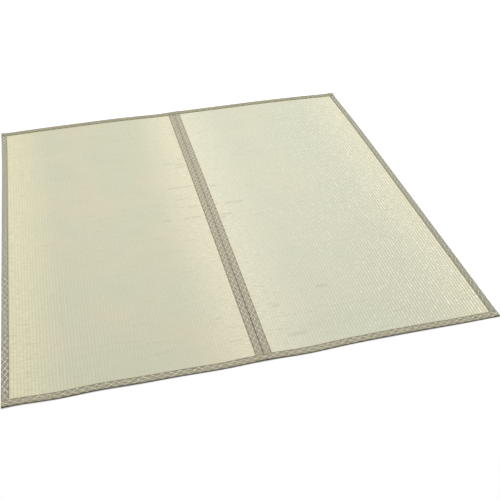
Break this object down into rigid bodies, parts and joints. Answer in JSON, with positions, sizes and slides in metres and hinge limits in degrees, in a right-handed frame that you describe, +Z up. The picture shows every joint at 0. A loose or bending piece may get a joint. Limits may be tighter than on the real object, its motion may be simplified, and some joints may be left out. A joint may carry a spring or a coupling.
{
  "type": "tatami mat",
  "caption": "Flat rush floor mat of ribbed woven panels side by side, edged all round and down the middle seam with folded cloth tape.",
  "frame": {"origin": "on the floor under the middle of the mat", "axes": "+X across the panels, +Y along the ribs of the weave towards the back end, +Z up"},
  "size_m": [1.76, 1.76, 0.0043],
  "materials": {
    "rush": "woven rush, pale green to straw, soft sheen",
    "binding": "woven cotton tape, grey beige with a light diamond pattern"
  },
  "bodies": {
    "root": {"rush_panel_left": "rush", "rush_panel_right": "rush", "binding_left": "binding", "binding_middle_left": "binding", "binding_middle_right": "binding", "binding_right": "binding", "binding_front": "binding", "binding_back": "binding"}
  },
  "joints": []
}
